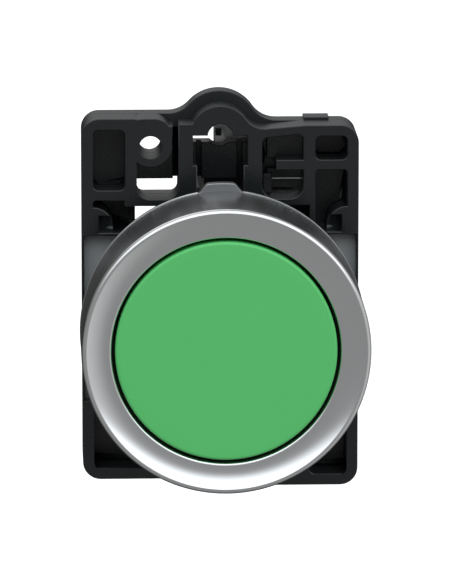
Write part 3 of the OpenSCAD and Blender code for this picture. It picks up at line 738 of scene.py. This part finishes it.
# Red acetal: a dull brick red with a waxy sheen
ring_pom = moulded_plastic("red_acetal", "#b8432c", "#ad3c27", 0.4, 0.14, 0.005)
eased("lock_ring", 0.08, ring_pom)
LEVER_TURN = math.radians(170)
TAB_OUT = 14.5 * MM
TAB_HALF_W = 1.4 * MM
TAB_RIB_H = 0.16 * MM
TAB_RIB_W = 0.3 * MM
TAB_RIB_GAP = 0.62 * MM
RING_FRONT_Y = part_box("lock_ring")[0][1]
ribs = []
for step in range(4):
    y = RING_FRONT_Y + 1.5 * MM + TAB_RIB_GAP * step
    rib = block_mesh("rib", (TAB_OUT - 0.05 * MM, y, -TAB_HALF_W),
                     (TAB_OUT + TAB_RIB_H, y + TAB_RIB_W, TAB_HALF_W), TAB_RIB_H / 2)
    count = len(rib.vertices)
    flat = np.empty(count * 3)
    rib.vertices.foreach_get("co", flat)
    place = flat.reshape(-1, 3)
    x = place[:, 0] * math.cos(LEVER_TURN) - place[:, 2] * math.sin(LEVER_TURN)
    z = place[:, 0] * math.sin(LEVER_TURN) + place[:, 2] * math.cos(LEVER_TURN)
    rib.vertices.foreach_set("co", np.stack([x, place[:, 1], z], -1).ravel())
    ribs.append(rib)
make_piece("lever_ribs", join_meshes("lever_ribs", ribs), ring_pom, "lock_ring",
           "ring_plastic")


# ---------------------------------------------------------------------------
# Contact block: a housing and a flat cover of black nylon, riveted together. The
# terminal screws are reached through two holes in the rear, wires enter above
# and below, and grip ribs run across its right side.
# ---------------------------------------------------------------------------

# Black nylon with a coarser grain: duller and a little greyer than the collar
block_nylon = moulded_plastic("block_nylon", "#2b2e30", "#26292b", 0.5, 0.18, 0.008, 0.4)
eased("block_housing", 0.12, block_nylon)
eased("block_cover", 0.12, block_nylon)
BLOCK_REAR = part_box("block_housing")[1][1]
BLOCK_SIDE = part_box("block_housing")[1][0]

GRIP_HALF_H = 7.5 * MM
GRIP_H = 0.35 * MM
GRIP_W = 0.7 * MM
GRIP_GAP = 1.6 * MM
GRIP_ROUND = 0.16 * MM
ribs = []
for step in range(7):
    y = BLOCK_REAR - 4.2 * MM - GRIP_GAP * step
    ribs.append(
        block_mesh("rib", (BLOCK_SIDE - 0.1 * MM, y, -GRIP_HALF_H),
                   (BLOCK_SIDE + GRIP_H, y + GRIP_W, GRIP_HALF_H), GRIP_ROUND)
    )
make_piece("grip_ribs", join_meshes("grip_ribs", ribs), block_nylon, "base", "block_plastic")

TERM_Z = 9 * MM
ACCESS_R = 2.2 * MM
RIM_BEAD = 0.25 * MM
RIM_SINK = 0.1 * MM
collars = []
for side in (-1, 1):
    profile = [(ACCESS_R, BLOCK_REAR - RIM_SINK)]
    profile += arc((ACCESS_R + RIM_BEAD, BLOCK_REAR + RIM_BEAD / 2), RIM_BEAD, 180, 0, 9)
    profile += [(ACCESS_R + 2 * RIM_BEAD, BLOCK_REAR - RIM_SINK)]
    collars.append(turned("collar", profile, 56, (BLOCK_X, side * TERM_Z)))
make_piece("access_rims", join_meshes("access_rims", collars), block_nylon, "base",
           "block_plastic")


def pierced_plate(name, centre, half_x, half_z, y0, y1, hole_r, edge):
    """
    Plate with a round hole. At angle a its outline is at the smaller of half_x / |cos a|
    and half_z / |sin a|. The cross-section is a loop from hole to outline in radius and
    y, and its rear corners are bevelled by edge.
    """
    a = np.linspace(0, TAU, 96, endpoint=False)
    corner = math.atan2(half_z, half_x)
    a = np.sort(np.append(a, [corner, math.pi - corner, math.pi + corner, TAU - corner]))
    x_reach = half_x / np.maximum(np.abs(np.cos(a)), 1e-9)
    reach = np.minimum(x_reach, half_z / np.maximum(np.abs(np.sin(a)), 1e-9))
    hole = np.full(a.shape, hole_r)
    radius = np.stack([hole, hole, hole + edge, reach - edge, reach, reach], axis=1)
    y = np.broadcast_to([y0, y1 - edge, y1, y1, y1 - edge, y0], radius.shape)
    x = centre + radius * np.cos(a)[:, None]
    return grid_mesh(name, np.stack([x, y, radius * np.sin(a)[:, None]], axis=-1), sharp=30)


# Blank marking plate between the two terminal holes, pierced for the plunger's tail
PLATE_HALF_W = 3.4 * MM
PLATE_HALF_H = 4.6 * MM
PLATE_SINK = 0.2 * MM
PLATE_PROUD = 0.3 * MM
PLATE_EDGE = 0.15 * MM
plunger_mesh = frame["nodes"]["plunger"].data
flat = np.empty(len(plunger_mesh.vertices) * 3)
plunger_mesh.vertices.foreach_get("co", flat)
tail = flat.reshape(-1, 3)
tail = tail[tail[:, 1] > tail[:, 1].max() - 0.05 * MM]
TAIL_R = np.hypot(tail[:, 0] - BLOCK_X, tail[:, 2]).max()
# Pale grey polycarbonate: smooth and even
pale_plate = moulded_plastic("grey_polycarbonate", "#b9bab6", "#b2b3af", 0.45, 0.2, 0.005)
make_piece(
    "marking_plate",
    pierced_plate("marking_plate", BLOCK_X, PLATE_HALF_W, PLATE_HALF_H,
                  BLOCK_REAR - PLATE_SINK, BLOCK_REAR + PLATE_PROUD,
                  TAIL_R + 2 * PLATE_EDGE, PLATE_EDGE),
    pale_plate, "base", "block_plastic",
)

# Raised frame on the cover: four bars, each from y0, z0 to y1, z1
COVER_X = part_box("block_cover")[0][0]
BAR_W = 0.6 * MM
BAR_H = 0.25 * MM
BAR_EDGE = 0.1 * MM
FRAME_Y0 = 27 * MM
FRAME_Y1 = 41 * MM
FRAME_Z = 9.8 * MM
bars = []
for y0, y1, z0, z1 in (
    (FRAME_Y0, FRAME_Y1, FRAME_Z - BAR_W, FRAME_Z),
    (FRAME_Y0, FRAME_Y1, -FRAME_Z, BAR_W - FRAME_Z),
    (FRAME_Y0, FRAME_Y0 + BAR_W, -FRAME_Z, FRAME_Z),
    (FRAME_Y1 - BAR_W, FRAME_Y1, -FRAME_Z, FRAME_Z),
):
    bars.append(
        block_mesh("bar", (COVER_X - BAR_H, y0, z0), (COVER_X + BAR_EDGE, y1, z1), BAR_EDGE)
    )
make_piece("cover_frame", join_meshes("cover_frame", bars), block_nylon, "base",
           "block_plastic")


# ---------------------------------------------------------------------------
# Rivets: hollow brass rivets that hold the cover on the housing, with domed heads
# set by rolling.
# ---------------------------------------------------------------------------

def brass_strip(name, colour, dark, roughness):
    """
    Rolled brass, copper or silver alloy: a warm metal with soft tarnish clouds of about
    1.6 mm that dull it where they lie.
    """
    material, tree, coords = new_material(name)
    tarnish = add(
        tree, "ShaderNodeTexNoise", {"Vector": coords, "Scale": 1 / (1.6 * MM), "Detail": 5.0}
    )
    tone = add(
        tree, "ShaderNodeMix",
        {0: tarnish.outputs[0], 6: linear(dark), 7: linear(colour)}, data_type="RGBA",
    )
    gloss = add(
        tree, "ShaderNodeMapRange",
        {"Value": tarnish.outputs[0], "To Min": roughness + 0.12, "To Max": roughness - 0.04},
    )
    bump = add(
        tree, "ShaderNodeBump",
        {"Height": tarnish.outputs[0], "Strength": 0.2, "Distance": 0.005 * MM},
    )
    metal = add(
        tree, "ShaderNodeBsdfPrincipled",
        {"Base Color": tone.outputs[2], "Metallic": 1.0, "Roughness": gloss.outputs[0],
         "Normal": bump.outputs[0]},
    )
    finish_material(tree, metal)
    return material


# Brass: pale gold, browner where it has tarnished
rivet_brass = brass_strip("rivet_brass", "#d8c083", "#b39a62", 0.3)
eased("block_rivets", 0.18, rivet_brass, 4)


# ---------------------------------------------------------------------------
# Latch: a grey moulded lever on a steel pin. It hooks the block to the collar
# and its thumb tab has fine ribs.
# ---------------------------------------------------------------------------

# Grey nylon: mid grey, with a soft sheen
grey_latch = moulded_plastic("mid_grey_nylon", "#7b7e80", "#747779", 0.45, 0.14, 0.005)
eased("block_latch", 0.08, grey_latch)
latch_low, latch_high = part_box("block_latch")
THUMB_T = 1 * MM
THUMB_RIB_W = 0.2 * MM
THUMB_RIB_H = 0.12 * MM
THUMB_RIB_GAP = 0.42 * MM
thumb_y = latch_high[1] - THUMB_T
ribs = []
for step in range(3):
    z = latch_high[2] - 0.45 * MM - THUMB_RIB_GAP * step
    ribs.append(
        block_mesh("rib", (latch_low[0] + THUMB_RIB_W, thumb_y - THUMB_RIB_H, z),
                   (latch_high[0] - THUMB_RIB_W, thumb_y + 0.1 * MM, z + THUMB_RIB_W),
                   THUMB_RIB_H / 2)
    )
make_piece("latch_ribs", join_meshes("latch_ribs", ribs), grey_latch, "block_latch",
           "latch_plastic")


# ---------------------------------------------------------------------------
# Contacts: a green plunger carries a copper-alloy bridge with silver tips; two
# copper-alloy strips with silver tips face it and run out to the terminals.
# ---------------------------------------------------------------------------

# Green nylon, warm orange copper alloy and nearly white silver
green_nylon = moulded_plastic("plunger_nylon", "#3f7f6a", "#397561", 0.45, 0.15, 0.005)
copper_alloy = brass_strip("contact_copper", "#d09a5c", "#a5713c", 0.28)
silver = brass_strip("contact_silver", "#e2e1dc", "#bdbcb7", 0.24)
eased("plunger", 0.08, green_nylon)
for node in ("contact_bridge", "upper_contact", "lower_contact"):
    eased(node, 0.06, copper_alloy)
for node in ("bridge_tips", "fixed_tips"):
    eased(node, 0.1, silver, 3)


# ---------------------------------------------------------------------------
# Stage: a matt white floor well below the button. It shows behind the button and
# takes no part in its reflections.
# ---------------------------------------------------------------------------

scene = bpy.context.scene
scene.view_settings.view_transform = "Standard"

FLOOR_REACH = 6.0
FLOOR_Z = -0.14
floor_mesh = bpy.data.meshes.new("floor")
corners = [(-1, -1), (1, -1), (1, 1), (-1, 1)]
floor_mesh.from_pydata(
    [(x * FLOOR_REACH, y * FLOOR_REACH, FLOOR_Z) for x, y in corners], [], [(0, 1, 2, 3)]
)
floor = bpy.data.objects.new("floor", floor_mesh)
bpy.context.collection.objects.link(floor)
# Matt white paper with a little light of its own, so that it has no shadow edge
pale_paper, tree, coords = new_material("matt_white_paper")
finish_material(
    tree,
    add(tree, "ShaderNodeBsdfPrincipled",
        {"Base Color": (0.8, 0.8, 0.8, 1), "Roughness": 0.9, "Specular IOR Level": 0.1,
         "Emission Color": (1, 1, 1, 1), "Emission Strength": 0.4}),
)
floor_mesh.materials.append(pale_paper)
floor.visible_glossy = False
floor.visible_diffuse = False


# ---------------------------------------------------------------------------
# Studio light: a dim surround that is darkest low behind the button, a wide soft
# box high in front, a smaller one high behind and a soft glow from the right.
# ---------------------------------------------------------------------------

FRONT_LEVEL = 0.305
LOW_REAR_LEVEL = 0.03
HIGH_REAR_LEVEL = 0.38
FRONT_BOX_LEVEL = 1.55
REAR_BOX_LEVEL = 1.2
RIGHT_LEVEL = 0.42
FRONT_BOX_DIRECTION = (0.08, -0.572, 0.816)
FRONT_BOX_STRETCH = (0.31, 1, 1)
REAR_BOX_DIRECTION = (-0.25, 0.6, 0.76)

world = bpy.data.worlds.new("soft_surround")
scene.world = world
world.use_nodes = True
tree = world.node_tree
tree.nodes.clear()
direction = add(tree, "ShaderNodeTexCoord", {}).outputs["Generated"]
parts = add(tree, "ShaderNodeSeparateXYZ", {0: direction})

# The front box is wide, so its direction is compared after a squeeze across. Both boxes
# are full inside 14 degrees of their middle and fade out at 43 and 33 degrees.
squeezed = add(
    tree, "ShaderNodeVectorMath", {0: direction, 1: FRONT_BOX_STRETCH}, operation="MULTIPLY"
)
unit = add(tree, "ShaderNodeVectorMath", {0: squeezed.outputs[0]}, operation="NORMALIZE")
front_near = add(
    tree, "ShaderNodeVectorMath", {0: unit.outputs[0], 1: FRONT_BOX_DIRECTION},
    operation="DOT_PRODUCT",
)
front_box = add(
    tree, "ShaderNodeMapRange",
    {"Value": front_near.outputs["Value"], "From Min": 0.73, "From Max": 0.97},
    interpolation_type="SMOOTHSTEP",
)
rear_near = add(
    tree, "ShaderNodeVectorMath", {0: direction, 1: REAR_BOX_DIRECTION},
    operation="DOT_PRODUCT",
)
rear_box = add(
    tree, "ShaderNodeMapRange",
    {"Value": rear_near.outputs["Value"], "From Min": 0.84, "From Max": 0.97,
     "To Max": REAR_BOX_LEVEL},
    interpolation_type="SMOOTHSTEP",
)
right_glow = add(
    tree, "ShaderNodeMapRange",
    {"Value": parts.outputs[0], "From Min": 0.3, "From Max": 1.0, "To Max": RIGHT_LEVEL},
)
behind = add(
    tree, "ShaderNodeMapRange", {"Value": parts.outputs[1], "From Min": -0.2, "From Max": 0.5}
)
rear_level = add(
    tree, "ShaderNodeMapRange",
    {"Value": parts.outputs[2], "From Max": 0.22, "To Min": LOW_REAR_LEVEL,
     "To Max": HIGH_REAR_LEVEL},
)
surround = add(
    tree, "ShaderNodeMix", {0: behind.outputs[0], 2: FRONT_LEVEL, 3: rear_level.outputs[0]},
    data_type="FLOAT",
)
front_glow = add(
    tree, "ShaderNodeMath", {0: front_box.outputs[0], 1: FRONT_BOX_LEVEL, 2: surround.outputs[0]},
    operation="MULTIPLY_ADD",
)
side_glow = add(
    tree, "ShaderNodeMath", {0: rear_box.outputs[0], 1: right_glow.outputs[0]}, operation="ADD"
)
glow = add(
    tree, "ShaderNodeMath", {0: front_glow.outputs[0], 1: side_glow.outputs[0]}, operation="ADD"
)
box_tint = add(
    tree, "ShaderNodeMix",
    {0: front_box.outputs[0], 6: (1, 1, 1, 1), 7: (0.93, 0.99, 1.03, 1)}, data_type="RGBA",
)
light = add(
    tree, "ShaderNodeBackground", {"Color": box_tint.outputs[2], "Strength": glow.outputs[0]}
)

# Seen directly, the surround is plain white paper
paper = add(tree, "ShaderNodeBackground", {"Color": (1, 1, 1, 1), "Strength": 1.0})
seen = add(tree, "ShaderNodeLightPath", {})
studio = add(
    tree, "ShaderNodeMixShader",
    {0: seen.outputs["Is Camera Ray"], 1: light.outputs[0], 2: paper.outputs[0]},
)
add(tree, "ShaderNodeOutputWorld", {"Surface": studio.outputs[0]})


# ---------------------------------------------------------------------------
# Camera: a long lens from the front, 11 degrees above and 2 degrees to the left,
# aimed near the barrel's axis.
# ---------------------------------------------------------------------------

AZIMUTH = math.radians(-2.08)
ELEVATION = math.radians(11)
DISTANCE = 0.580505
TARGET = Vector((0.405 * MM, 0, 3.846 * MM))
back = Vector((
    math.sin(AZIMUTH) * math.cos(ELEVATION),
    -math.cos(AZIMUTH) * math.cos(ELEVATION),
    math.sin(ELEVATION),
))
lens = bpy.data.cameras.new("camera")
lens.sensor_width = 36
lens.lens = 339.5
lens.clip_start = 0.01
lens.clip_end = 50
camera = bpy.data.objects.new("camera", lens)
camera.location = TARGET + back * DISTANCE
camera.rotation_mode = "QUATERNION"
camera.rotation_quaternion = (-back).to_track_quat("-Z", "Y")
bpy.context.collection.objects.link(camera)
scene.camera = camera
